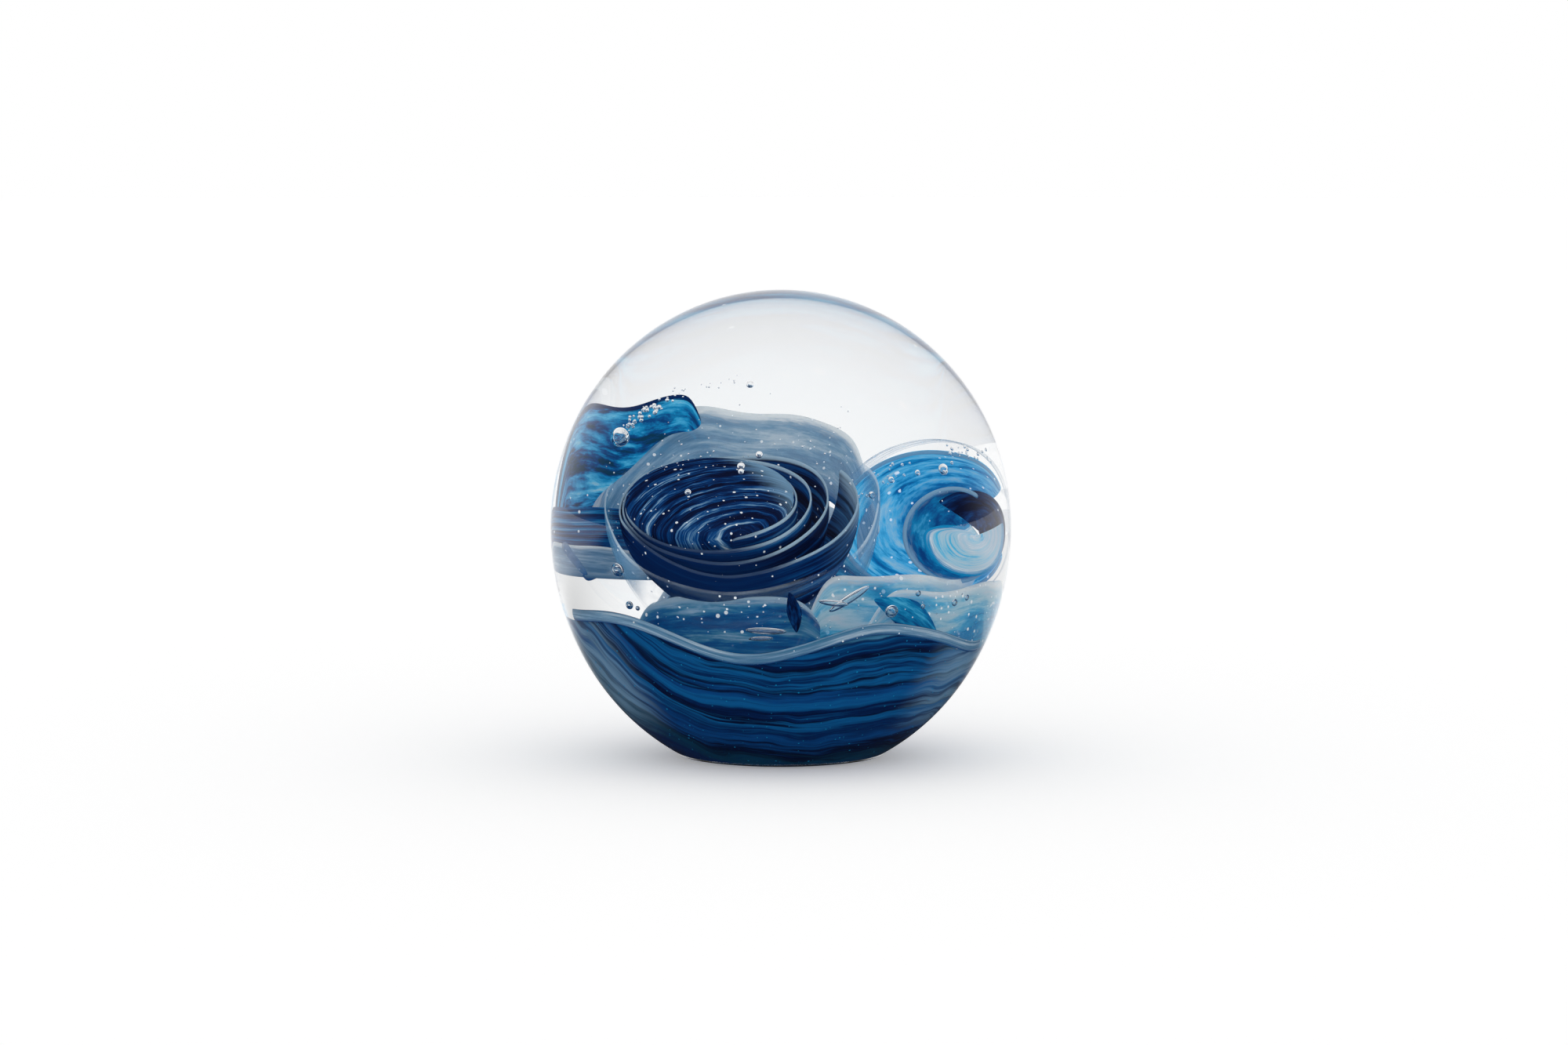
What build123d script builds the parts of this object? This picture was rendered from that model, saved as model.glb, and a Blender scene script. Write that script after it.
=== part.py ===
"""Glass globe paperweight: clear glass cased over folded ribbons of blue glass on a blue base.

The frame's origin is the centre of the flat foot, +Z is up, and -Y is the front, where the
big coil faces. Lengths are millimetres and angles are degrees.
"""

import os
from math import cos, radians, sin

from build123d import *

os.makedirs("parts", exist_ok=True)

# The globe: two half ellipses that meet at the equator, ground flat at the foot. The lower one
# would close a little way below the foot, and so would those of the core and the base in it.
globe_radius = 40.0
equator_height = 40.0
crown_rise = 41.2
taper_overrun = 4.0
foot_fillet = 1.6

# The clear casing, the last gather, over the core.
casing_wall = 4.0
crown_wall = 5.0
foot_wall = 2.0

# The blue base: dished layers stacked in the bottom of the core, from the foot upwards.
glass_gap = 0.3
base_skin = 2.6
base_floor = 1.6
foot_layer = 7.0
band_heights = (3.0, 3.0, 2.3, 2.7)
base_dish = 2.4

# The big coil: nested eccentric cups round a solid heart, tipped forward to face the front.
coil_x = -6.5
coil_y = -9.0
coil_above_base = 18.2
coil_lean = 23.0
coil_bank = 5.4
coil_radius = 17.0
coil_depth = 12.5
lip_count = 4
lip_wall = 0.5
lip_pitch = 1.6
lip_shift = 0.75
lip_rise = 0.6
shift_angle = 150.0
heart_dome = 0.8

# The veil that stands behind the coil like a collar.
veil_bank = 12.0
veil_gap = 1.3
veil_height = 5.2
veil_flare = 2.2
veil_belly = 0.55
veil_wall = 0.9
veil_start = 56.0
veil_arc = 128.0

# The blue wave behind the veil on the left, and the pale fold below it.
wave_axis_x = -12.0
wave_axis_y = -5.6
wave_radius = 19.5
wave_wall = 1.2
wave_height = 11.0
wave_above_base = 19.4
wave_start = 85.0
wave_arc = 40.0
fold_radius = 25.0
fold_wall = 1.1
fold_height = 5.4
fold_above_base = 8.0
fold_start = 152.0
fold_arc = 36.0

# The fold at the back, which closes the ring of waves.
rear_radius = 19.0
rear_wall = 1.5
rear_height = 14.0
rear_above_base = 7.2
rear_start = 60.0
rear_arc = 60.0

# The curl on the right: a C-shaped ribbon with a hook, a dark heart and a pale tongue inside.
curl_x = 17.8
curl_y = 0.6
curl_above_base = 18.2
curl_width = 8.6
curl_radius = 9.0
curl_wall = 1.4
curl_open_from = 325.0
curl_open_to = 40.0
hook_radius = 5.2
hook_wall = 1.1
hook_drop = 1.8
hook_start = 80.0
hook_arc = 125.0
knot_reach = 6.0
knot_rise = 1.0
knot_length = 5.6
knot_height = 4.2
tongue_reach = 4.3
tongue_drop = 3.1
tongue_length = 6.6
tongue_height = 3.2
tongue_wall = 1.6
corner_share = 0.45

# The pale foam and the dark leaf under the curl, and the ripples above the base.
foam_radius = 20.0
foam_half_width = 2.4
foam_half_height = 3.1
foam_above_base = 6.0
foam_start = 285.0
foam_arc = 60.0
leaf_gap = 1.8
leaf_wall = 1.1
leaf_height = 6.0
leaf_above_base = 2.8
leaf_start = 302.0
leaf_arc = 34.0
ripple_radius = 22.6
ripple_wall = 1.6
low_ripple_height = 1.7
low_ripple_start = 200.0
low_ripple_arc = 140.0
high_ripple_height = 2.0
high_ripple_start = 215.0
high_ripple_arc = 66.0

# Air bubbles: round voids in rows round the curl, along the wave and over the coil's back edge.
# Each row starts at an angle, goes on by even turns, and its bubbles shrink along the row.
curl_bubbles = 6
curl_bubble_radius = 0.9
curl_bubble_start = 65.0
curl_bubble_turn = 22.0
curl_bubble_depth = 2.9
wave_bubbles = 5
wave_bubble_radius = 1.0
wave_bubble_turn = -9.0
wave_bubble_drop = 1.0
coil_bubbles = 3
coil_bubble_radius = 0.55
coil_bubble_start = 96.0
coil_bubble_turn = -14.0
bubble_clearance = 1.0
bubble_shrink = 0.82

# Handle length of the cubic curve that follows a quarter of an ellipse.
quarter_handle = 0.5523

core_radius = globe_radius - casing_wall
core_floor = foot_wall
base_bottom = core_floor + base_floor
base_top = base_bottom + foot_layer + sum(band_heights) + len(band_heights) * glass_gap


def quarter(radius, rise, base=0.0):
    """A quarter of an ellipse, from its side up (or, with a negative rise, down) to its pole."""
    return Bezier(
        (radius, base),
        (radius, base + quarter_handle * rise),
        (quarter_handle * radius, base + rise),
        (0, base + rise),
    )


def egg(radius, rise, floor, edge=0.0):
    """A solid of revolution: a dome on a tapering bowl, cut flat at the floor."""
    drop = equator_height - floor + taper_overrun
    with BuildPart() as body:
        with BuildSketch(Plane.XZ) as section:
            with BuildLine():
                dome = quarter(radius, rise, equator_height)
                bowl = quarter(radius, -drop, equator_height)
                Line(dome @ 1, bowl @ 1)
            make_face()
            with Locations((0, floor - drop / 2)):
                Rectangle(2 * radius, drop, mode=Mode.SUBTRACT)
            if edge > 0:
                fillet(section.vertices().group_by(Axis.Y)[0].sort_by(Axis.X)[-1], edge)
        revolve(axis=Axis.Z)
    return body


def section_plane(frame, angle):
    """The half plane at an angle round a frame's axis: x runs outwards and y along the axis."""
    turned = frame.rotated((0, 0, angle))
    return Plane(origin=turned.origin, x_dir=turned.x_dir, z_dir=-turned.y_dir)


def frame_axis(frame):
    """The axis of revolution of a frame."""
    return Axis(frame.origin, frame.z_dir)


def curved_wall(frame, radius, wall, height, start, arc):
    """A wall of even thickness, bent round a frame's axis, with rounded top and bottom edges."""
    with BuildPart() as body:
        with BuildSketch(section_plane(frame, start)):
            with Locations((radius + wall / 2, height / 2)):
                RectangleRounded(wall, height, wall * corner_share)
        revolve(axis=frame_axis(frame), revolution_arc=arc)
    return body


def finish(part, name):
    """Labels a piece and writes its file."""
    part.label = name
    export_step(part, f"parts/{name}.step")


# ---------------------------------------------------------------- the blue base

base_room = egg(core_radius - base_skin, crown_rise - crown_wall - base_skin, base_bottom)


def base_layer(bottom, height):
    """One layer: a dished disc, trimmed to the bowl that the base fills."""
    with BuildPart() as body:
        with BuildSketch(Plane.XZ):
            with BuildLine():
                lower = ThreePointArc(
                    (-core_radius, bottom), (0, bottom - base_dish), (core_radius, bottom)
                )
                top = bottom + height
                upper = ThreePointArc(
                    (-core_radius, top), (0, top - base_dish), (core_radius, top)
                )
                Line(lower @ 0, upper @ 0)
                Line(lower @ 1, upper @ 1)
            make_face()
            split(bisect_by=Plane.YZ, keep=Keep.TOP)
        revolve(axis=Axis.Z)
        add(base_room.part, mode=Mode.INTERSECT)
    return body


# The foot layer starts below the bowl, so that its underside is the bowl's flat floor.
base_foot = base_layer(base_bottom - foot_layer, 2 * foot_layer)
finish(base_foot.part, "base_foot")
base_layers = [base_foot.part]

layer_bottom = base_bottom + foot_layer + glass_gap
for number, band_height in enumerate(band_heights, start=1):
    band = base_layer(layer_bottom, band_height)
    finish(band.part, f"base_band_{number}")
    base_layers.append(band.part)
    layer_bottom = layer_bottom + band_height + glass_gap

# ---------------------------------------------------------------- the big coil

coil_height = base_top + coil_above_base
coil_frame = Plane((coil_x, coil_y, coil_height)).rotated((coil_lean, -coil_bank, 0))


def moved_in(frame, step):
    """The frame of the cup that lies some steps further in: shifted aside and raised."""
    aside = step * lip_shift
    return Plane(
        origin=frame.from_local_coords(
            (aside * cos(radians(shift_angle)), aside * sin(radians(shift_angle)), step * lip_rise)
        ),
        x_dir=frame.x_dir,
        z_dir=frame.z_dir,
    )


def cup(frame, radius, depth, wall):
    """A thin elliptical cup with a rounded lip."""
    with BuildPart() as body:
        with BuildSketch(section_plane(frame, 0)):
            with BuildLine():
                outside = quarter(radius, -depth)
                inside = quarter(radius - wall, wall - depth)
                ThreePointArc(inside @ 0, (radius - wall / 2, wall / 2), outside @ 0)
                Line(inside @ 1, outside @ 1)
            make_face()
        revolve(axis=frame_axis(frame))
    return body


coil_pieces = []
for step in range(lip_count):
    lip = cup(
        moved_in(coil_frame, step),
        coil_radius - step * lip_pitch,
        coil_depth - step * lip_pitch,
        lip_wall,
    )
    finish(lip.part, f"coil_lip_{step + 1}")
    coil_pieces.append(lip.part)

heart_frame = moved_in(coil_frame, lip_count)
heart_radius = coil_radius - lip_count * lip_pitch
heart_depth = coil_depth - lip_count * lip_pitch
with BuildPart() as coil_heart:
    with BuildSketch(section_plane(heart_frame, 0)):
        with BuildLine():
            under = quarter(heart_radius, -heart_depth)
            over = quarter(heart_radius, heart_dome)
            Line(under @ 1, over @ 1)
        make_face()
    revolve(axis=frame_axis(heart_frame))
finish(coil_heart.part, "coil_heart")
coil_pieces.append(coil_heart.part)

# ---------------------------------------------------------------- veil, waves and folds

veil_frame = Plane((coil_x, coil_y, coil_height)).rotated((coil_lean, -veil_bank, 0))
veil_radius = coil_radius + veil_gap
with BuildPart() as crest_veil:
    with BuildSketch(section_plane(veil_frame, veil_start)):
        with BuildLine():
            veil_inside = ThreePointArc(
                (veil_radius, 0),
                (veil_radius + veil_belly, veil_height / 2),
                (veil_radius + veil_flare, veil_height),
            )
            veil_outside = ThreePointArc(
                (veil_radius + veil_wall, 0),
                (veil_radius + veil_wall + veil_belly, veil_height / 2),
                (veil_radius + veil_wall + veil_flare, veil_height),
            )
            Line(veil_inside @ 0, veil_outside @ 0)
            ThreePointArc(
                veil_inside @ 1,
                (veil_radius + veil_flare + veil_wall / 2, veil_height + veil_wall / 2),
                veil_outside @ 1,
            )
        make_face()
    revolve(axis=frame_axis(veil_frame), revolution_arc=veil_arc)
finish(crest_veil.part, "crest_veil")

left_wave = curved_wall(
    Plane((wave_axis_x, wave_axis_y, base_top + wave_above_base)),
    wave_radius,
    wave_wall,
    wave_height,
    wave_start,
    wave_arc,
)
finish(left_wave.part, "left_wave")

left_fold = curved_wall(
    Plane((0, 0, base_top + fold_above_base)),
    fold_radius,
    fold_wall,
    fold_height,
    fold_start,
    fold_arc,
)
finish(left_fold.part, "left_fold")

rear_fold = curved_wall(
    Plane((0, 0, base_top + rear_above_base)),
    rear_radius,
    rear_wall,
    rear_height,
    rear_start,
    rear_arc,
)
finish(rear_fold.part, "rear_fold")

# ---------------------------------------------------------------- the curl on the right

curl_height = base_top + curl_above_base
curl_face = Plane(origin=(curl_x, curl_y, curl_height), x_dir=(1, 0, 0), z_dir=(0, -1, 0))


def ribbon(face, radius, wall, width, start, arc):
    """A flat ribbon on edge, bent round a centre on the face, that runs back from the face."""
    with BuildPart() as body:
        with BuildSketch(face):
            with BuildLine():
                outside = CenterArc((0, 0), radius, start, arc)
                inside = CenterArc((0, 0), radius - wall, start, arc)
                Line(outside @ 0, inside @ 0)
                Line(outside @ 1, inside @ 1)
            make_face()
        extrude(amount=-width)
        ends = body.edges().filter_by(Axis.Y)
        fillet(ends, wall * corner_share)
    return body


curl_outer = ribbon(
    curl_face, curl_radius, curl_wall, curl_width, curl_open_to, curl_open_from - curl_open_to
)
finish(curl_outer.part, "curl_outer")

hook_face = Plane(
    origin=curl_face.from_local_coords((0, -hook_drop, 0)),
    x_dir=curl_face.x_dir,
    z_dir=curl_face.z_dir,
)
curl_hook = ribbon(hook_face, hook_radius, hook_wall, curl_width, hook_start, hook_arc)
finish(curl_hook.part, "curl_hook")

with BuildPart() as curl_knot:
    with BuildSketch(curl_face):
        with Locations((knot_reach, knot_rise)):
            Ellipse(knot_length / 2, knot_height / 2)
    extrude(amount=-curl_width)
finish(curl_knot.part, "curl_knot")

with BuildPart() as curl_tongue:
    with BuildSketch(curl_face.offset(-(curl_width - tongue_wall) / 2)):
        with Locations((tongue_reach, -tongue_drop)):
            Ellipse(tongue_length / 2, tongue_height / 2)
    extrude(amount=-tongue_wall)
finish(curl_tongue.part, "curl_tongue")

# ---------------------------------------------------------------- foam, leaf and ripples

foam_frame = Plane((0, 0, base_top + foam_above_base))
with BuildPart() as foam_fold:
    with BuildSketch(section_plane(foam_frame, foam_start)):
        with Locations((foam_radius, 0)):
            Ellipse(foam_half_width, foam_half_height)
    revolve(axis=frame_axis(foam_frame), revolution_arc=foam_arc)
finish(foam_fold.part, "foam_fold")

leaf = curved_wall(
    Plane((0, 0, base_top + leaf_above_base)),
    foam_radius + foam_half_width + leaf_gap,
    leaf_wall,
    leaf_height,
    leaf_start,
    leaf_arc,
)
finish(leaf.part, "leaf")

ripple_low = curved_wall(
    Plane((0, 0, base_top + glass_gap)),
    ripple_radius,
    ripple_wall,
    low_ripple_height,
    low_ripple_start,
    low_ripple_arc,
)
finish(ripple_low.part, "ripple_low")

ripple_high = curved_wall(
    Plane((0, 0, base_top + 2 * glass_gap + low_ripple_height)),
    ripple_radius,
    ripple_wall,
    high_ripple_height,
    high_ripple_start,
    high_ripple_arc,
)
finish(ripple_high.part, "ripple_high")

# ---------------------------------------------------------------- air bubbles

bubble_places = []
for index in range(curl_bubbles):
    size = curl_bubble_radius * bubble_shrink**index
    turn = radians(curl_bubble_start + curl_bubble_turn * index)
    reach = curl_radius + bubble_clearance + size
    place = curl_face.from_local_coords(
        (reach * cos(turn), reach * sin(turn), -curl_bubble_depth)
    )
    bubble_places.append((place, size))

for index in range(wave_bubbles):
    size = wave_bubble_radius * bubble_shrink**index
    turn = radians(wave_start + wave_arc + wave_bubble_turn * index)
    reach = wave_radius - bubble_clearance - size
    place = Vector(
        wave_axis_x + reach * cos(turn),
        wave_axis_y + reach * sin(turn),
        base_top + wave_above_base + wave_height - wave_bubble_drop - size,
    )
    bubble_places.append((place, size))

for index in range(coil_bubbles):
    size = coil_bubble_radius * bubble_shrink**index
    turn = radians(coil_bubble_start + coil_bubble_turn * index)
    reach = coil_radius - lip_pitch
    lift = lip_rise * lip_count + bubble_clearance + size
    place = coil_frame.from_local_coords((reach * cos(turn), reach * sin(turn), lift))
    bubble_places.append((place, size))

# ---------------------------------------------------------------- the clear glass

core = egg(core_radius, crown_rise - crown_wall, core_floor)

with BuildPart() as inner_gather:
    add(core.part)
    for piece in base_layers + coil_pieces:
        add(piece, mode=Mode.SUBTRACT)
    for block in (crest_veil, left_wave, left_fold, rear_fold, curl_outer, curl_hook):
        add(block.part, mode=Mode.SUBTRACT)
    for block in (curl_knot, curl_tongue, foam_fold, leaf, ripple_low, ripple_high):
        add(block.part, mode=Mode.SUBTRACT)
    for place, size in bubble_places:
        with Locations(place):
            Sphere(size, mode=Mode.SUBTRACT)
finish(inner_gather.part, "inner_gather")

globe = egg(globe_radius, crown_rise, 0, foot_fillet)
with BuildPart() as outer_gather:
    add(globe.part)
    add(core.part, mode=Mode.SUBTRACT)
finish(outer_gather.part, "outer_gather")
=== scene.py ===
"""A clear glass globe with folded blue glass and air bubbles inside, on a pale floor.

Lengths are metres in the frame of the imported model: the origin is the centre of the flat foot,
+Z is up and -Y is the front. Sizes that read better in millimetres are multiplied by MM.
"""

import math
import random

import bpy
from mathutils import Matrix, Vector


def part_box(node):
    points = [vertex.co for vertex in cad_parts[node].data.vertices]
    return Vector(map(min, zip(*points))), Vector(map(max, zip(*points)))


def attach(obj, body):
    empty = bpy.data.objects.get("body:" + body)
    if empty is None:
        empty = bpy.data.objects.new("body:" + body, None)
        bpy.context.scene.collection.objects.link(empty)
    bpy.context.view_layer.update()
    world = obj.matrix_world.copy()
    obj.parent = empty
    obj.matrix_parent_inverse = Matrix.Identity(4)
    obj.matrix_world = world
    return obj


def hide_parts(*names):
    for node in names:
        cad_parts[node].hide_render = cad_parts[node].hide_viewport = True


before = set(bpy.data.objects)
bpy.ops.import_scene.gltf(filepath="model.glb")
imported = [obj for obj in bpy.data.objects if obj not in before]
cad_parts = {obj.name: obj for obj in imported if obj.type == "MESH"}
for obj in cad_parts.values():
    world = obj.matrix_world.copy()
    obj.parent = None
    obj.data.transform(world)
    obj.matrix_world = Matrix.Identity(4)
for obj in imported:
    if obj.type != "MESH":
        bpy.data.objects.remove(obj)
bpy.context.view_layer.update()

MM = 0.001
BODY = "root"

# The globe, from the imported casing.
globe_low, globe_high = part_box("outer_gather")
GLOBE_RADIUS = (globe_high[0] - globe_low[0]) / 2
GLOBE_TOP = globe_high[2]
EQUATOR = 40.0 * MM
TAPER_DROP = 44.0 * MM
FOOT_BEVEL = 1.6 * MM
GLASS_IOR = 1.5

# The base and the pattern that stands on it.
BASE_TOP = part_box("base_band_4")[1][2]
lip_low, lip_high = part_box("coil_lip_1")
COIL_ASIDE = (lip_low[0] + lip_high[0]) / 2 + 1.2 * MM
COIL_FRONT = -8.6 * MM
COIL_RISE = 21.0 * MM
COIL_CENTRE = Vector((COIL_ASIDE, COIL_FRONT, BASE_TOP + COIL_RISE))
COIL_LEAN = math.radians(19.5)
COIL_BANK = math.radians(-5.4)
COIL_TURN = (COIL_LEAN, COIL_BANK, 0.0)
curl_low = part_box("curl_outer")[0]
CURL_ASIDE = 17.8 * MM
CURL_RISE = 18.2 * MM
CURL_CENTRE = Vector((CURL_ASIDE, curl_low[1], BASE_TOP + CURL_RISE))
THIN_SHEET = 0.3 * MM

# The coil, in millimetres.
COIL_RADIUS = 16.4
COIL_DEPTH = 13.8

# Colours of the glass, as linear red, green and blue.
INK = (0.001, 0.004, 0.026)
NAVY = (0.001, 0.017, 0.085)
ROYAL = (0.003, 0.060, 0.220)
DEEP = (0.004, 0.108, 0.310)
CERULEAN = (0.006, 0.235, 0.490)
SKY = (0.075, 0.440, 0.690)
TEAL = (0.002, 0.040, 0.090)
LAGOON = (0.050, 0.210, 0.370)
STEEL = (0.110, 0.250, 0.410)
HAZE = (0.190, 0.350, 0.510)
MIST = (0.320, 0.460, 0.580)
PALE = (0.480, 0.590, 0.680)
MILK = (0.700, 0.760, 0.790)
AQUA = (0.330, 0.560, 0.680)


# ---------------------------------------------------------------- modelling helpers


def mode(name):
    """Changes to object mode or edit mode."""
    bpy.ops.object.mode_set(mode=name)


def select(action):
    """Selects every corner in edit mode, or none."""
    bpy.ops.mesh.select_all(action=action)


def start_clean():
    """Leaves edit mode and deselects everything."""
    if bpy.context.object and bpy.context.object.mode != "OBJECT":
        mode("OBJECT")
    bpy.ops.object.select_all(action="DESELECT")


def hold(piece):
    """Selects this piece alone and makes it the active one."""
    start_clean()
    piece.select_set(True)
    bpy.context.view_layer.objects.active = piece


def apply_place():
    """Puts the place, turn and size of the piece in hand into its mesh."""
    bpy.ops.object.transform_apply(location=True, rotation=True, scale=True)


def take(name):
    """Names the new piece and returns it."""
    piece = bpy.context.object
    piece.name = name
    piece.data.name = name
    return piece


def pick(piece, test):
    """In edit mode, selects the corners whose place passes the test, and no others."""
    mode("EDIT")
    bpy.ops.mesh.select_mode(type="VERT")
    select("DESELECT")
    mode("OBJECT")
    for corner in piece.data.vertices:
        corner.select = bool(test(corner.co))
    mode("EDIT")


def edge_chain(name, places):
    """A chain of edges: a small plane merged to one corner, then extruded from place to place."""
    start_clean()
    bpy.ops.mesh.primitive_plane_add(size=MM, location=places[0])
    piece = take(name)
    apply_place()
    mode("EDIT")
    bpy.ops.mesh.select_mode(type="VERT")
    select("SELECT")
    bpy.ops.mesh.merge(type="CENTER")
    for start, end in zip(places, places[1:]):
        step = Vector(end) - Vector(start)
        bpy.ops.mesh.extrude_region_move(TRANSFORM_OT_translate={"value": step})
    select("SELECT")
    return piece


def pull(move, scale, about=(0, 0, 0)):
    """Extrudes the selected chain into a new ring, moved and then scaled about a point."""
    bpy.ops.mesh.extrude_region_move(TRANSFORM_OT_translate={"value": move})
    bpy.ops.transform.resize(value=scale, center_override=about)


def finish_modifier(piece, kind, **values):
    """Adds a modifier with these values and applies it."""
    modifier = piece.modifiers.new(kind.lower(), kind)
    for key, value in values.items():
        setattr(modifier, key, value)
    bpy.context.view_layer.objects.active = piece
    bpy.ops.object.modifier_apply(modifier=modifier.name)


def note_flow(piece, places, rings):
    """Stores on each corner how far along the chain and how far down the rings it lies."""
    mesh = piece.data
    count = len(places)
    order = []
    for corner in mesh.vertices[:count]:
        nearest = min(range(count), key=lambda i: (corner.co - Vector(places[i])).length)
        order.append(nearest)
    flow = mesh.attributes.new("flow", "FLOAT_VECTOR", "POINT")
    for index in range(len(mesh.vertices)):
        along = order[index % count] / (count - 1)
        across = (index // count) / max(rings, 1)
        flow.data[index].vector = (along, across, 0.0)


def note_own(piece):
    """Stores each corner's place in the piece's own upright frame, in millimetres."""
    own = piece.data.attributes.new("own", "FLOAT_VECTOR", "POINT")
    for corner in piece.data.vertices:
        own.data[corner.index].vector = corner.co / MM


def settle(piece, centre, turn=(0.0, 0.0, 0.0)):
    """Turns the piece and moves it to its place, and puts both into its mesh."""
    hold(piece)
    piece.rotation_euler = turn
    piece.location = centre
    apply_place()


def face_out(piece):
    """Points all faces outwards."""
    hold(piece)
    mode("EDIT")
    select("SELECT")
    bpy.ops.mesh.normals_make_consistent(inside=False)
    mode("OBJECT")


def smooth(piece, levels):
    """Subdivides the piece and shades it smooth."""
    if levels:
        finish_modifier(piece, "SUBSURF", levels=levels, render_levels=levels)
    hold(piece)
    bpy.ops.object.shade_smooth()


def wall(name, places, pulls, thickness, centre=(0, 0, 0), turn=(0, 0, 0), levels=2):
    """A sheet of glass: a chain of edges along its lip, pulled out ring by ring and thickened."""
    piece = edge_chain(name, places)
    for move, scale in pulls:
        pull(move, scale)
    mode("OBJECT")
    note_flow(piece, places, len(pulls))
    note_own(piece)
    settle(piece, centre, turn)
    face_out(piece)
    finish_modifier(piece, "SOLIDIFY", thickness=thickness, offset=0.0, use_even_offset=True)
    smooth(piece, levels)
    return piece


def polar(radius, degrees, height=0.0):
    """A place round the Z axis, from millimetres and degrees."""
    turn = math.radians(degrees)
    return Vector((radius * math.cos(turn), radius * math.sin(turn), height)) * MM


def ease(low, high, value):
    """0 below low, 1 above high, and smooth in between."""
    share = min(max((value - low) / (high - low), 0.0), 1.0)
    return share * share * (3 - 2 * share)


# ---------------------------------------------------------------- shader groups and materials


def new_group(name, inputs, outputs):
    """An empty shader group with named inputs (name, kind, value) and outputs (name, kind)."""
    group = bpy.data.node_groups.new(name, "ShaderNodeTree")
    for label, kind, value in inputs:
        socket = group.interface.new_socket(label, in_out="INPUT", socket_type=kind)
        if value is not None:
            socket.default_value = value
    for label, kind in outputs:
        group.interface.new_socket(label, in_out="OUTPUT", socket_type=kind)
    return group, group.nodes.new("NodeGroupInput"), group.nodes.new("NodeGroupOutput")


def node(tree, kind, **values):
    """A new node with these properties, or default values where an input has that name."""
    made = tree.nodes.new(kind)
    for key, value in values.items():
        label = key.replace("_", " ").title()
        if label in made.inputs:
            made.inputs[label].default_value = value
        else:
            setattr(made, key, value)
    return made


def feed(tree, made, values):
    """Gives a node's first inputs their values, each a number or a socket."""
    for place, value in enumerate(values):
        if isinstance(value, (int, float)):
            made.inputs[place].default_value = value
        else:
            tree.links.new(value, made.inputs[place])


def math_node(tree, operation, *values):
    """A math node whose inputs are numbers or sockets. Returns its output."""
    made = node(tree, "ShaderNodeMath", operation=operation)
    feed(tree, made, values)
    return made.outputs[0]


def split(tree, vector):
    """The three parts of a vector."""
    made = tree.nodes.new("ShaderNodeSeparateXYZ")
    tree.links.new(vector, made.inputs[0])
    return made.outputs


def join(tree, *parts):
    """A vector of three parts, each a number or a socket."""
    made = tree.nodes.new("ShaderNodeCombineXYZ")
    feed(tree, made, parts)
    return made.outputs[0]


def grey(tree, value):
    """An even grey, as bright as the value."""
    made = tree.nodes.new("ShaderNodeCombineColor")
    feed(tree, made, (value, value, value))
    return made.outputs[0]


def noise(tree, vector, **values):
    """A noise texture over these coordinates. Returns its value."""
    made = node(tree, "ShaderNodeTexNoise", **values)
    tree.links.new(vector, made.inputs["Vector"])
    return made.outputs["Fac"]


def noted(tree, name):
    """The vector that the corners of a piece have stored under a name."""
    return node(tree, "ShaderNodeAttribute", attribute_name=name).outputs["Vector"]


def spread(tree, value, low, high, to_low=0.0, to_high=1.0):
    """Maps a value smoothly from one range to another."""
    made = tree.nodes.new("ShaderNodeMapRange")
    made.interpolation_type = "SMOOTHSTEP"
    tree.links.new(value, made.inputs["Value"])
    made.inputs["From Min"].default_value = low
    made.inputs["From Max"].default_value = high
    made.inputs["To Min"].default_value = to_low
    made.inputs["To Max"].default_value = to_high
    return made.outputs[0]


def blend_colours(tree, share, first, second):
    """Mixes two colours, each a socket or a plain colour, by a share."""
    made = tree.nodes.new("ShaderNodeMix")
    made.data_type = "RGBA"
    for label, value in ((0, share), (6, first), (7, second)):
        if hasattr(value, "is_linked"):
            tree.links.new(value, made.inputs[label])
        elif label == 0:
            made.inputs[0].default_value = value
        else:
            made.inputs[label].default_value = (*value, 1.0)
    return made.outputs[2]


def make_streaks():
    """Drawn-out streaks: long along the flow and fine across it, with a slow wander."""
    inputs = [
        ("Flow", "NodeSocketVector", None),
        ("Along", "NodeSocketFloat", 2.0),
        ("Across", "NodeSocketFloat", 14.0),
        ("Wander", "NodeSocketFloat", 0.06),
    ]
    outputs = [("Streak", "NodeSocketFloat"), ("Fine", "NodeSocketFloat")]
    group, source, result = new_group("drawn_streaks", inputs, outputs)
    drift = noise(group, source.outputs["Flow"], scale=2.5, detail=2.0)
    moved = math_node(group, "SUBTRACT", drift, 0.5)
    moved = math_node(group, "MULTIPLY", moved, source.outputs["Wander"])
    parts = split(group, source.outputs["Flow"])
    along = math_node(group, "MULTIPLY", parts[0], source.outputs["Along"])
    across = math_node(group, "ADD", parts[1], moved)
    across = math_node(group, "MULTIPLY", across, source.outputs["Across"])
    drawn = join(group, along, across, parts[2])
    broad = noise(group, drawn, scale=1.0, detail=3.0, roughness=0.6)
    fine = noise(group, drawn, scale=3.4, detail=4.0, roughness=0.7)
    group.links.new(spread(group, broad, 0.3, 0.7), result.inputs["Streak"])
    group.links.new(spread(group, fine, 0.35, 0.7), result.inputs["Fine"])
    return group


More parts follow.
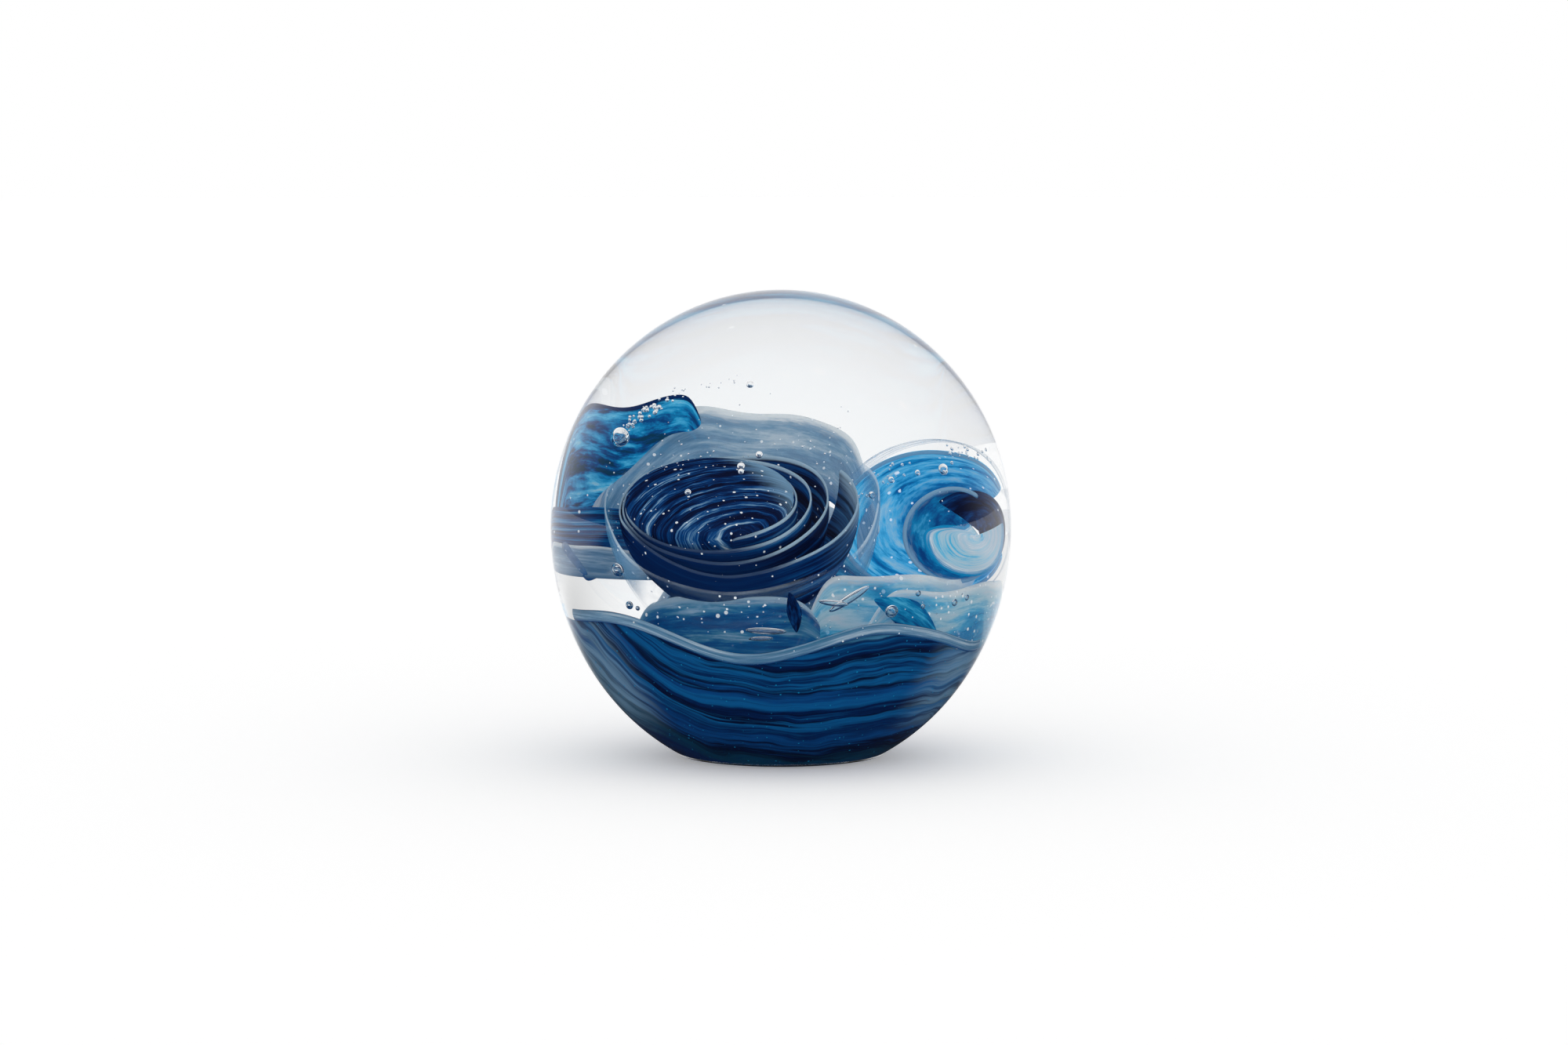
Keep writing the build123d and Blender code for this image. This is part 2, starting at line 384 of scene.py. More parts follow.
def make_seeds():
    """Fine seeds: a few small pale dots, one to a cell, of uneven size."""
    inputs = [("Cells", "NodeSocketFloat", 900.0), ("Size", "NodeSocketFloat", 0.2)]
    group, source, result = new_group("fine_seeds", inputs, [("Mask", "NodeSocketFloat")])
    place = group.nodes.new("ShaderNodeTexCoord")
    cells = node(group, "ShaderNodeTexVoronoi", randomness=1.0)
    group.links.new(place.outputs["Object"], cells.inputs["Vector"])
    group.links.new(source.outputs["Cells"], cells.inputs["Scale"])
    parts = group.nodes.new("ShaderNodeSeparateColor")
    group.links.new(cells.outputs["Color"], parts.inputs[0])
    luck = math_node(group, "POWER", parts.outputs[0], 4.0)
    reach = math_node(group, "MULTIPLY", luck, source.outputs["Size"])
    inside = math_node(group, "LESS_THAN", cells.outputs["Distance"], reach)
    group.links.new(inside, result.inputs["Mask"])
    return group


# Painted glow: light that the coloured glass gives out of its own, which lifts its shade in place of
# light carried through it.
PAINTED_GLOW = 0.22
# The air in a fine seed, as it shows in coloured glass.
SEED_PALE = (0.85, 0.90, 0.94)

STREAKS = make_streaks()
SEEDS = make_seeds()


def new_material(name):
    """An empty node material. Returns it, its tree and its Principled shader."""
    material = bpy.data.materials.new(name)
    material.use_nodes = True
    tree = material.node_tree
    shader = tree.nodes["Principled BSDF"]
    return material, tree, shader


def along_direction(tree, source, direction):
    """How far a place lies along a direction of the piece's own frame."""
    made = node(tree, "ShaderNodeVectorMath", operation="DOT_PRODUCT")
    tree.links.new(source, made.inputs[0])
    made.inputs[1].default_value = direction
    return made.outputs["Value"]


def ramp_colours(tree, share, ramp):
    """The colours of a ramp of (place, colour) stops, by a share."""
    made = tree.nodes.new("ShaderNodeValToRGB")
    stops = made.color_ramp.elements
    while len(stops) < len(ramp):
        stops.new(0.5)
    for stop, (position, colour) in zip(stops, ramp):
        stop.position = position
        stop.color = (*colour, 1.0)
    tree.links.new(share, made.inputs[0])
    return made.outputs[0]


def seed_dots(tree, cells, size):
    """The mask of the fine seeds, for so many cells and a size of dot."""
    return node(tree, "ShaderNodeGroup", node_tree=SEEDS, cells=cells, size=size).outputs[0]


def colour_through(tree, shader, colour, glow, roughness):
    """Gives glass a colour that goes right through it, a painted glow of that colour that lifts its
    shade, and no gloss.
    """
    tree.links.new(colour, shader.inputs["Base Color"])
    tree.links.new(colour, shader.inputs["Emission Color"])
    shader.inputs["Emission Strength"].default_value = glow
    shader.inputs["Roughness"].default_value = roughness
    shader.inputs["Specular IOR Level"].default_value = 0.0


def folded_glass(name, ramp, along=2.0, across=14.0, wander=0.06, lip=None, lip_reach=0.12,
                 seeds=0.2, cells=900.0, seed=0.0, clear=None, lip_clear=1.0, foot=None, shades=(),
                 covers=(), glow=PAINTED_GLOW):
    """Coloured glass inside the globe, streaked along its flow.

    ramp is (place, colour) stops over the streaks. lip is the pale colour along the chain's
    edge, which fades out over lip_reach of the rings. foot is the same at the last ring.
    clear is (least, most) cover where the sheet lets light through, by its streaks, and
    lip_clear is the share of that cover at the lip. shades are (direction, from, to, colour,
    share): a colour that comes in along a direction of the piece's own frame, in millimetres.
    covers are (direction, from, to, cover): the glass is less clear that way. glow is the strength of
    its painted glow, which lifts its shade.
    """
    material, tree, shader = new_material(name)
    flow = split(tree, noted(tree, "flow"))
    streaks = node(tree, "ShaderNodeGroup", node_tree=STREAKS, along=along, across=across, wander=wander)
    tree.links.new(join(tree, flow[0], flow[1], seed), streaks.inputs["Flow"])
    mixed = math_node(tree, "MULTIPLY_ADD", streaks.outputs["Fine"], 0.35, 0.0)
    mixed = math_node(tree, "MULTIPLY_ADD", streaks.outputs["Streak"], 0.65, mixed)
    colour = ramp_colours(tree, mixed, ramp)
    ragged = math_node(tree, "MULTIPLY_ADD", streaks.outputs["Fine"], lip_reach * 0.8, flow[1])
    if foot:
        share = spread(tree, ragged, 0.75, 1.05, 0.0, 1.0)
        colour = blend_colours(tree, share, colour, foot)
    if lip:
        share = spread(tree, ragged, lip_reach * 0.5, lip_reach * 1.6, 1.0, 0.0)
        colour = blend_colours(tree, share, colour, lip)
    own = noted(tree, "own")
    for direction, low, high, shade, most in shades:
        reach = along_direction(tree, own, direction)
        wavy = math_node(tree, "MULTIPLY_ADD", mixed, 0.5 * (high - low), reach)
        late = 0.25 * (high - low)
        share = spread(tree, wavy, low + late, high + late, 0.0, most)
        colour = blend_colours(tree, share, colour, shade)
    dots = seed_dots(tree, cells, seeds)
    colour = blend_colours(tree, dots, colour, SEED_PALE)
    colour_through(tree, shader, colour, glow, 0.45)
    if clear:
        least, most = clear
        cover = spread(tree, mixed, 0.2, 0.8, least, most)
        if lip_clear != 1.0:
            share = spread(tree, flow[1], 0.0, max(lip_reach * 1.5, 0.02), lip_clear, 1.0)
            cover = math_node(tree, "MULTIPLY", cover, share)
        for direction, low, high, most in covers:
            reach = along_direction(tree, own, direction)
            share = spread(tree, reach, low, high, 0.0, most)
            cover = math_node(tree, "MAXIMUM", cover, share)
        cover = math_node(tree, "MAXIMUM", cover, dots)
        tree.links.new(cover, shader.inputs["Alpha"])
    return material


def clear_glass():
    """The clear glass, with a faint ripple that the blowing left in its skin."""
    material, tree, shader = new_material("clear_glass")
    shader.inputs["Base Color"].default_value = (0.975, 0.985, 0.99, 1.0)
    shader.inputs["Roughness"].default_value = 0.0
    shader.inputs["IOR"].default_value = GLASS_IOR
    shader.inputs["Transmission Weight"].default_value = 1.0
    place = tree.nodes.new("ShaderNodeTexCoord")
    bump = node(tree, "ShaderNodeBump", strength=0.25, distance=0.4 * MM)
    ripple = noise(tree, place.outputs["Object"], scale=38.0, detail=1.0)
    tree.links.new(ripple, bump.inputs["Height"])
    tree.links.new(bump.outputs["Normal"], shader.inputs["Normal"])
    return material


def dress(piece, material, slot_name, *nodes):
    """Gives the piece its material and its body, and hides the nodes that it stands for. slot_name is
    not used.
    """
    piece.data.materials.clear()
    piece.data.materials.append(material)
    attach(piece, BODY)
    if nodes:
        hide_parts(*nodes)


# ---------------------------------------------------------------- camera, world and floor


FLOOR_PALE = 0.90
FLOOR_LIFT = 0.24
CLEAR_BOUNCES = 24
DIFFUSE_BOUNCES = 6
SEE_THROUGH_BOUNCES = 32


def make_camera():
    """A long lens a little above the globe's middle, looking straight at its front."""
    elevation = math.radians(5.0)
    distance = 0.9
    lens, sensor = 118.9, 36.0
    aim = Vector((0.55 * MM, 0.0, EQUATOR + 0.75 * MM))
    data = bpy.data.cameras.new("camera")
    data.lens = lens
    data.sensor_width = sensor
    camera = bpy.data.objects.new("camera", data)
    bpy.context.scene.collection.objects.link(camera)
    back = Vector((0.0, -math.cos(elevation), math.sin(elevation)))
    camera.location = aim + distance * back
    camera.rotation_euler = (math.pi / 2 - elevation, 0.0, 0.0)
    bpy.context.scene.camera = camera


def not_mirrored(tree, path, front):
    """What is left of the light once the front is dimmed where the glass mirrors it."""
    mirrored = math_node(tree, "MULTIPLY", path["Is Glossy Ray"], path["Is Reflection Ray"])
    dim = math_node(tree, "MULTIPLY", front, mirrored)
    return math_node(tree, "SUBTRACT", 1.0, dim)


def make_world():
    """Soft studio light from all round: a white backdrop, less light from the sides and above.

    The room in front of the glass is dim where the glass mirrors it, as it is behind a camera.
    """
    world = bpy.data.worlds.new("studio")
    bpy.context.scene.world = world
    world.use_nodes = True
    tree = world.node_tree
    light = tree.nodes["Background"]
    direction = tree.nodes.new("ShaderNodeTexCoord")
    parts = split(tree, direction.outputs["Generated"])
    side = math_node(tree, "ABSOLUTE", parts[0])
    side = spread(tree, side, 0.45, 0.99, 1.0, 0.66)
    above = spread(tree, parts[2], 0.35, 0.95, 1.0, 0.84)
    level = math_node(tree, "MULTIPLY", side, above)
    path = tree.nodes.new("ShaderNodeLightPath").outputs
    front = spread(tree, parts[1], 0.15, 0.85, 0.92, 0.0)
    level = math_node(tree, "MULTIPLY", level, not_mirrored(tree, path, front))
    seen = math_node(tree, "MAXIMUM", level, path["Is Camera Ray"])
    tree.links.new(grey(tree, seen), light.inputs["Color"])
    light.inputs["Strength"].default_value = 1.0


def make_floor():
    """A round, pale floor that keeps the globe's soft shadow and meets the white backdrop."""
    start_clean()
    bpy.ops.mesh.primitive_circle_add(vertices=96, radius=4.0, fill_type="NGON", location=(0, 0, 0))
    floor = take("floor")
    material, tree, shader = new_material("pale_floor")
    shader.inputs["Roughness"].default_value = 0.7
    shader.inputs["Specular IOR Level"].default_value = 0.0
    path = tree.nodes.new("ShaderNodeLightPath").outputs
    place = tree.nodes.new("ShaderNodeTexCoord")
    forward = split(tree, place.outputs["Object"])[1]
    # Painted dark reflection: the floor's colour is darker in front where the glass mirrors it.
    dim = not_mirrored(tree, path, spread(tree, forward, 20.0 * MM, 140.0 * MM, 0.97, 0.0))
    pale = math_node(tree, "MULTIPLY", dim, FLOOR_PALE)
    tree.links.new(grey(tree, pale), shader.inputs["Base Color"])
    seen = math_node(tree, "MAXIMUM", path["Is Camera Ray"], path["Is Glossy Ray"])
    seen = math_node(tree, "MAXIMUM", seen, path["Is Transmission Ray"])
    lift = math_node(tree, "MULTIPLY", seen, FLOOR_LIFT)
    lift = math_node(tree, "MULTIPLY", lift, dim)
    shader.inputs["Emission Color"].default_value = (1.0, 1.0, 1.0, 1.0)
    tree.links.new(lift, shader.inputs["Emission Strength"])
    floor.data.materials.append(material)


bpy.context.scene.view_settings.view_transform = "Standard"
bpy.context.scene.cycles.max_bounces = CLEAR_BOUNCES
bpy.context.scene.cycles.transmission_bounces = CLEAR_BOUNCES
bpy.context.scene.cycles.glossy_bounces = CLEAR_BOUNCES
bpy.context.scene.cycles.diffuse_bounces = DIFFUSE_BOUNCES
bpy.context.scene.cycles.transparent_max_bounces = SEE_THROUGH_BOUNCES
make_camera()
make_world()
make_floor()


# ---------------------------------------------------------------- the globe and its base


def make_globe():
    """The clear casing: a ball, drawn down to a flat foot with an eased edge."""
    start_clean()
    bpy.ops.mesh.primitive_uv_sphere_add(segments=160, ring_count=120, radius=GLOBE_RADIUS,
                                         location=(0.0, 0.0, EQUATOR))
    globe = take("clear_globe")
    apply_place()
    middle = (0.0, 0.0, EQUATOR)
    hair = 0.01 * MM
    pick(globe, lambda place: place.z > EQUATOR + hair)
    crown = (GLOBE_TOP - EQUATOR) / GLOBE_RADIUS
    bpy.ops.transform.resize(value=(1.0, 1.0, crown), center_override=middle)
    pick(globe, lambda place: place.z < EQUATOR - hair)
    drop = TAPER_DROP / GLOBE_RADIUS
    bpy.ops.transform.resize(value=(1.0, 1.0, drop), center_override=middle)
    select("SELECT")
    bpy.ops.mesh.bisect(plane_co=(0.0, 0.0, 0.0), plane_no=(0.0, 0.0, -1.0), use_fill=True,
                        clear_outer=True)
    bpy.ops.mesh.select_mode(type="EDGE")
    select("DESELECT")
    mode("OBJECT")
    corners = globe.data.vertices
    for edge in globe.data.edges:
        edge.select = max(corners[index].co.z for index in edge.vertices) < hair
    mode("EDIT")
    bpy.ops.mesh.bevel(offset=FOOT_BEVEL, segments=5, profile=0.5)
    bpy.ops.mesh.select_mode(type="VERT")
    mode("OBJECT")
    smooth(globe, 0)
    return globe


# Bubbles up to this radius in millimetres are made with few faces.
FINE_BUBBLE = 0.45


def add_air(globe, bubbles):
    """Adds air bubbles: balls of air, faced inwards because the glass is round them.

    Each bubble is its centre and radius in millimetres. One that isn't round also has its
    stretch along X and its tilt in degrees.
    """
    start_clean()
    for place, (centre, radius, *shape) in enumerate(bubbles):
        segments, rings = (24, 14) if radius > FINE_BUBBLE else (8, 5)
        spot = Vector(centre) * MM
        bpy.ops.mesh.primitive_uv_sphere_add(segments=segments, ring_count=rings,
                                             radius=radius * MM, location=spot)
        if place == 0:
            air = take("air")
            apply_place()
            mode("EDIT")
            select("SELECT")
        if shape:
            stretch, tilt = shape
            bpy.ops.transform.resize(value=(stretch, 1.0, 1.0), center_override=spot)
            tilted = Matrix.Rotation(math.radians(tilt), 4, "Y")
            mode("OBJECT")
            for corner in air.data.vertices:
                if corner.select:
                    corner.co = spot + tilted @ (corner.co - spot)
            mode("EDIT")
    select("SELECT")
    bpy.ops.mesh.normals_make_consistent(inside=True)
    mode("OBJECT")
    smooth(air, 0)
    hold(globe)
    air.select_set(True)
    bpy.ops.object.join()
    start_clean()


# The base, in millimetres. It would be widest at the height BASE_WIDEST.
BASE_RIM = 25.0
BASE_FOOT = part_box("base_foot")[0][2] / MM
BASE_WIDEST = 40.0
BASE_REACH = 34.8
BASE_DROP = 39.0
RIM_UNDER_SWELL = 1.0


def base_radius(height):
    """The base's radius in millimetres at a height, just inside the casing."""
    share = (height - BASE_WIDEST) / BASE_DROP
    return BASE_REACH * math.sqrt(1 - share * share)


def peak(value, middle, width):
    """One smooth peak, 1 at its middle."""
    return math.exp(-((value - middle) / width) ** 2)


def hump(degrees, middle, width):
    """One smooth peak round a turn."""
    return peak((degrees - middle + 180.0) % 360.0 - 180.0, 0.0, width)


def swell_height(degrees):
    """The height in millimetres of the swell round the base's rim, like a low wave."""
    dip = 6.0 * hump(degrees, 262.0, 26.0)
    crest = 1.0 * hump(degrees, 297.0, 13.0)
    side = 5.0 * hump(degrees, 345.0, 36.0)
    return BASE_RIM + 2.6 - dip + crest - side + 0.3 * math.sin(math.radians(7 * degrees))


def rim_height(degrees):
    """The uneven height of the base's rim, just under the swell."""
    return swell_height(degrees) - RIM_UNDER_SWELL


def make_base():
    """The blue base: a bowl with an uneven rim, a dished top and a rounded underside."""
    start_clean()
    bpy.ops.mesh.primitive_circle_add(vertices=120, radius=base_radius(BASE_RIM) * MM,
                                      location=(0.0, 0.0, BASE_RIM * MM))
    base = take("blue_base")
    apply_place()
    for corner in base.data.vertices:
        degrees = math.degrees(math.atan2(corner.co.y, corner.co.x))
        corner.co.z = rim_height(degrees) * MM
        corner.co.xy *= base_radius(rim_height(degrees)) * MM / corner.co.xy.length
    rim = [corner.co.copy() for corner in base.data.vertices]
    mode("EDIT")
    select("SELECT")
    rings = 14
    level_out = 0.82
    last = BASE_RIM
    for ring in range(1, rings + 1):
        level = BASE_RIM + (BASE_FOOT - BASE_RIM) * ring / rings
        round_in = 0.96 if ring == rings else 1.0
        scale = base_radius(level) / base_radius(last) * round_in
        pull((0, 0, (level - last) * MM), (scale, scale, level_out), (0, 0, level * MM))
        last = level
    bpy.ops.mesh.edge_face_add()
    bpy.ops.mesh.inset(thickness=2.5 * MM)
    bpy.ops.mesh.inset(thickness=4.0 * MM)
    bpy.ops.mesh.poke()
    pick(base, lambda place: any((place - spot).length < 0.001 * MM for spot in rim))
    top = ((0.93, -0.4), (0.86, -1.5), (0.72, -1.3), (0.55, -0.6), (0.35, 0.3), (0.15, 0.3))
    reach = 1.0
    for share, drop in top:
        scale = share / reach
        pull((0, 0, drop * MM), (scale, scale, 1.0))
        reach = share
    bpy.ops.mesh.edge_face_add()
    bpy.ops.mesh.poke()
    mode("OBJECT")
    note_own(base)
    face_out(base)
    smooth(base, 1)
    return base


def base_glass():
    """The base's layers: dark and bright bands that bow across the bowl, streaked pale at its sides."""
    material, tree, shader = new_material("base_glass")
    own = noted(tree, "own")
    aside, back, height = split(tree, own)
    sway = noise(tree, own, scale=0.07, detail=2.0)
    level = math_node(tree, "MULTIPLY_ADD", sway, 5.0, -2.5)
    level = math_node(tree, "ADD", level, height)
    sweep = math_node(tree, "MULTIPLY_ADD", aside, 0.00022, -0.0105)
    bow = math_node(tree, "MULTIPLY", aside, aside)
    bow = math_node(tree, "MULTIPLY", bow, sweep)
    level = math_node(tree, "ADD", level, bow)
    round_grain, up_grain = 0.035, 1.1
    along = join(tree, math_node(tree, "MULTIPLY", aside, round_grain),
                 math_node(tree, "MULTIPLY", back, round_grain),
                 math_node(tree, "MULTIPLY", level, up_grain))
    layers = noise(tree, along, scale=1.0, detail=4.0, roughness=0.6)
    level = math_node(tree, "MULTIPLY_ADD", layers, 7.0, level)
    share = spread(tree, level, 2.5, 30.0)
    share.node.interpolation_type = "LINEAR"
    colour = ramp_colours(tree, share, (
        (0.00, INK), (0.12, NAVY), (0.18, TEAL), (0.24, INK), (0.29, ROYAL), (0.34, NAVY),
        (0.39, DEEP), (0.42, INK), (0.46, NAVY), (0.51, DEEP), (0.56, ROYAL), (0.60, INK),
        (0.64, DEEP), (0.67, NAVY), (0.71, DEEP), (0.75, INK), (0.79, NAVY), (0.84, DEEP),
        (0.88, NAVY), (0.93, LAGOON), (1.00, HAZE),
    ))
    side = math_node(tree, "ABSOLUTE", aside)
    side = math_node(tree, "MULTIPLY_ADD", height, -0.6, side)
    side = math_node(tree, "MULTIPLY_ADD", layers, 3.0, side)
    pale = spread(tree, side, 11.5, 18.0, 0.0, 0.85)
    low = spread(tree, height, 7.0, 14.0)
    pale = math_node(tree, "MULTIPLY", pale, low)
    streaky = spread(tree, layers, 0.36, 0.62, 0.20, 0.95)
    pale = math_node(tree, "MULTIPLY", pale, streaky)
    colour = blend_colours(tree, pale, colour, HAZE)
    colour = blend_colours(tree, seed_dots(tree, 1400.0, 0.22), colour, CERULEAN)
    colour_through(tree, shader, colour, PAINTED_GLOW, 0.5)
    return material


globe = make_globe()
base = make_base()
dress(base, base_glass(), "navy_glass", "base_foot", "base_band_1", "base_band_2", "base_band_3",
      "base_band_4")


# ---------------------------------------------------------------- the coil


def bowl_pulls(depth, finish, rings):
    """Pulls that draw a lip down and in like a bowl, to a last scale. Millimetres."""
    last_angle = math.acos(finish)
    pulls = []
    reach, low = 1.0, 0.0
    for ring in range(1, rings + 1):
        angle = last_angle * ring / rings
        share = math.cos(angle)
        drop = -depth * math.sin(angle)
        pulls.append(((0.0, 0.0, (drop - low) * MM), (share / reach, share / reach, 1.0)))
        reach, low = share, drop
    return pulls


def make_coil_shell():
    """The coil's outer shell: a thin pale cup, open at the top, drawn in to a round bottom."""
    places = []
    steps = 72
    for step in range(steps + 1):
        degrees = 360.0 * step / steps
        lift = 0.5 * math.sin(math.radians(3 * degrees))
        lift += 0.3 * math.sin(math.radians(5 * degrees + 40))
        front = max(-math.sin(math.radians(degrees)), 0.0)
        places.append(polar(COIL_RADIUS + 1.5 + 0.2 * lift, degrees, lift - 0.2 - 4.8 * front))
    return wall("coil_shell", places, bowl_pulls(COIL_DEPTH + 2.0, 0.12, 9), THIN_SHEET,
                COIL_CENTRE, COIL_TURN, 1)


def make_coil_ribbon():
    """The coil's folds: one ribbon wound three times round, its turns drawn together at the left."""
    places = []
    turns, steps = 3.3, 150
    start = 28.0
    gap = 0.42
    for step in range(steps + 1):
        wound = turns * step / steps
        degrees = start - 360.0 * wound
        radius = COIL_RADIUS - 1.8 - 1.12 * wound + 1.6 * math.exp(-wound / 0.5)
        peel = 1.9 * ease(0.10, 0.0, wound)
        shift = radius - (COIL_RADIUS - 0.2) + gap * wound
        outer = 1 - wound / turns
        ruffle = 0.25 * math.sin(math.radians(4.3 * degrees)) * outer
        swell = 1.3 * max(math.cos(math.radians(degrees + 10.0)), 0.0) * outer
        front = 4.0 * max(-math.sin(math.radians(degrees - 12.0)), 0.0) * outer
        height = 0.2 + 0.25 * wound + ruffle + swell - front
        places.append(polar(radius - peel, degrees, height) + Vector((shift * MM, 0.0, 0.0)))
    return wall("coil_ribbon", places, bowl_pulls(COIL_DEPTH - 0.6, 0.30, 8), THIN_SHEET,
                COIL_CENTRE, COIL_TURN, 1)


def note_sweep(piece, size, turn):
    """Notes a flow that sweeps over a round piece in shallow arcs, in its own flat plane."""
    flow = piece.data.attributes["flow"]
    own = piece.data.attributes["own"]
    swing = Matrix.Rotation(math.radians(turn), 3, "Z")
    for index in range(len(piece.data.vertices)):
        place = swing @ Vector(own.data[index].vector)
        across = (place.y + 0.022 * place.x * place.x) / size
        flow.data[index].vector = (place.x / size, 1.0 + across, 0.0)


def make_coil_eye():
    """The coil's middle: a low dome over a plug that closes the innermost fold."""
    plug, dome = 9.6, 11.0
    places = [polar(plug, 360.0 * step / 60) for step in range(61)]
    pulls = [((0.0, 0.0, 1.8 * MM), (1.08, 1.08, 1.0)),
             ((0.0, 0.0, 1.8 * MM), (dome / plug / 1.08, dome / plug / 1.08, 1.0))]
    reach = 1.0
    for share, rise in ((0.97, 0.6), (0.85, 0.75), (0.65, 0.7), (0.4, 0.4), (0.15, 0.1), (0.01, 0.0)):
        pulls.append(((0.0, 0.0, rise * MM), (share / reach, share / reach, 1.0)))
        reach = share
    offset = Matrix.Rotation(COIL_LEAN, 3, "X") @ Vector((-3.8 * MM, 0.0, -2.8 * MM))
    eye = wall("coil_eye", places, pulls, 0.6 * MM, COIL_CENTRE + offset, COIL_TURN, 1)
    note_sweep(eye, 12.0, -16.0)
    return eye


def make_veil():
    """The veil: a thin sheet that stands behind the coil, flares up and back, and curls over."""
    places = []
    steps = 52
    for step in range(steps + 1):
        share = step / steps
        degrees = 170.0 - 140.0 * share
        crest = 4.6 * peak(share, 0.80, 0.17)
        shoulder = 6.0 * peak(share, 0.55, 0.16)
        sag = -4.6 * peak(share, 0.20, 0.16)
        curl = -6.5 * ease(0.89, 1.0, share)
        flute = 0.3 * math.sin(17 * share) + 0.15 * math.sin(37 * share)
        flare = 3.2 * ease(0.33, 0.0, share)
        radius = 20.8 + 2.6 * math.sin(math.pi * share) + flare + flute * 0.6
        height = -0.8 + 1.6 * ease(0.0, 0.33, share) + crest + shoulder + curl + sag + flute
        places.append(polar(radius, degrees, height))
    pulls = []
    for drop, scale in ((-1.2, 0.965), (-1.3, 0.955), (-1.3, 0.955), (-1.4, 0.965), (-1.4, 0.975)):
        pulls.append(((0.0, 0.0, drop * MM), (scale, scale, 0.93)))
    centre = COIL_CENTRE + Vector((-1.4 * MM, 0.0, -1.4 * MM))
    return wall("rear_veil", places, pulls, THIN_SHEET, centre, (COIL_LEAN * 0.3, COIL_BANK, 0.0))


# ---------------------------------------------------------------- the waves at the left and back


SHEET_STEPS = 24
RING_STEPS = 40


def standing_sheet(name, axis, radius, start, end, top, foot, thickness, ruffle, ends, rings=5,
                   lean=1.0, phase=0.0):
    """An upright curved sheet round an axis (x, y), from its ruffled top edge to its foot.

    Its ends run down to the foot over a share of its length, so it tapers to two points.
    """
    places = []
    for step in range(SHEET_STEPS + 1):
        share = step / SHEET_STEPS
        degrees = start + (end - start) * share
        fall = ruffle * (math.sin(7.0 * share + phase) + 0.5 * math.sin(17.0 * share + 2 * phase))
        taper = ease(0.0, ends, share) * ease(0.0, ends, 1 - share)
        height = foot + 0.15 + (top + fall - foot - 0.15) * taper
        places.append(polar(radius + 0.3 * fall, degrees, height))
    piece = edge_chain(name, places)
    reach = 1.0
    for ring in range(1, rings + 1):
        share = max(1.0 - ring / rings, 0.02)
        pull((0.0, 0.0, 0.0), (lean, lean, share / reach), (0.0, 0.0, foot * MM))
        reach = share
    mode("OBJECT")
    note_flow(piece, places, rings)
    note_own(piece)
    settle(piece, (axis[0] * MM, axis[1] * MM, 0.0))
    face_out(piece)
    finish_modifier(piece, "SOLIDIFY", thickness=thickness * MM, offset=0.0, use_even_offset=False)
    smooth(piece, 2)
    return piece


# ---------------------------------------------------------------- the curl at the right


def facing_ring(name, radius, start, end, pulls, thickness, centre, flat, widen=None):
    """A curved band that opens to the front, round a line that runs from front to back.

    It is drawn flat, as an arc of edges that is pulled up and scaled, then stood on its side.
    """
    places = []
    for step in range(RING_STEPS + 1):
        share = step / RING_STEPS
        degrees = start + (end - start) * share
        place = polar(radius * (widen(share) if widen else 1.0), degrees)
        place.y *= flat
        places.append(place)
    turned = [((0.0, 0.0, -move * MM), (scale, scale, 1.0)) for move, scale in pulls]
    return wall(name, places, turned, thickness * MM, centre, (math.pi / 2, 0.0, 0.0))


def make_curl_band():
    """The curl's outer band: an open ring, a breaking wave seen along its tube."""
    def widen(share):
        return 1.0 + 0.12 * ease(0.20, 0.0, share) + 0.06 * ease(0.85, 1.0, share)
    pulls = ((0.8, 0.985), (1.2, 0.93), (1.5, 0.88), (1.7, 0.82), (1.6, 0.76), (1.0, 0.66))
    centre = (CURL_CENTRE.x + 0.9 * MM, 0.0, CURL_CENTRE.z)
    return facing_ring("curl_band", 12.0, 30.0, 332.0, pulls, 0.6, centre, 0.76, widen)


def make_curl_halo():
    """A clear grey skin over the curl and down its right, a little outside its band."""
    pulls = ((1.0, 0.97), (1.5, 0.96), (1.5, 0.95))
    centre = (CURL_CENTRE.x + 1.8 * MM, 0.4 * MM, CURL_CENTRE.z + 0.4 * MM)
    return facing_ring("curl_halo", 13.6, -60.0, 176.0, pulls, 0.25, centre, 0.76)


def make_curl_tube():
    """The inner tube of the curl, a smaller open ring in front of the band, with a pale ridge."""
    def widen(share):
        return 1.0 + 0.10 * ease(0.5, 1.0, share)
    pulls = ((0.5, 0.97), (1.0, 0.90), (1.3, 0.82), (1.3, 0.74), (1.0, 0.62), (0.6, 0.45),
             (0.2, 0.2), (0.1, 0.05))
    centre = (CURL_CENTRE.x + 4.2 * MM, -2.4 * MM, CURL_CENTRE.z - 1.0 * MM)
    return facing_ring("curl_tube", 7.2, 58.0, 322.0, pulls, 0.5, centre, 0.84, widen)


def make_curl_apron():
    """The pale sheet that runs up into the tube from the lower right."""
    def widen(share):
        return 0.30 + 0.70 * ease(0.10, 0.24, share)
    pulls = ((0.5, 0.80), (0.5, 0.70), (0.4, 0.50), (0.2, 0.15), (0.05, 0.02))
    centre = (CURL_CENTRE.x + 7.2 * MM, -2.8 * MM, CURL_CENTRE.z - 1.2 * MM)
    return facing_ring("curl_apron", 7.6, 112.0, 380.0, pulls, 0.5, centre, 0.74, widen)


def make_curl_block():
    """The dark gather at the tube's upper right."""
    pulls = ((0.5, 0.82), (0.5, 0.70), (0.4, 0.50), (0.2, 0.15), (0.05, 0.02))
    centre = (CURL_CENTRE.x + 7.0 * MM, -1.8 * MM, CURL_CENTRE.z - 0.7 * MM)
    return facing_ring("curl_block", 7.8, -70.0, 136.0, pulls, 0.5, centre, 0.70)


# ---------------------------------------------------------------- the swell and the small gathers


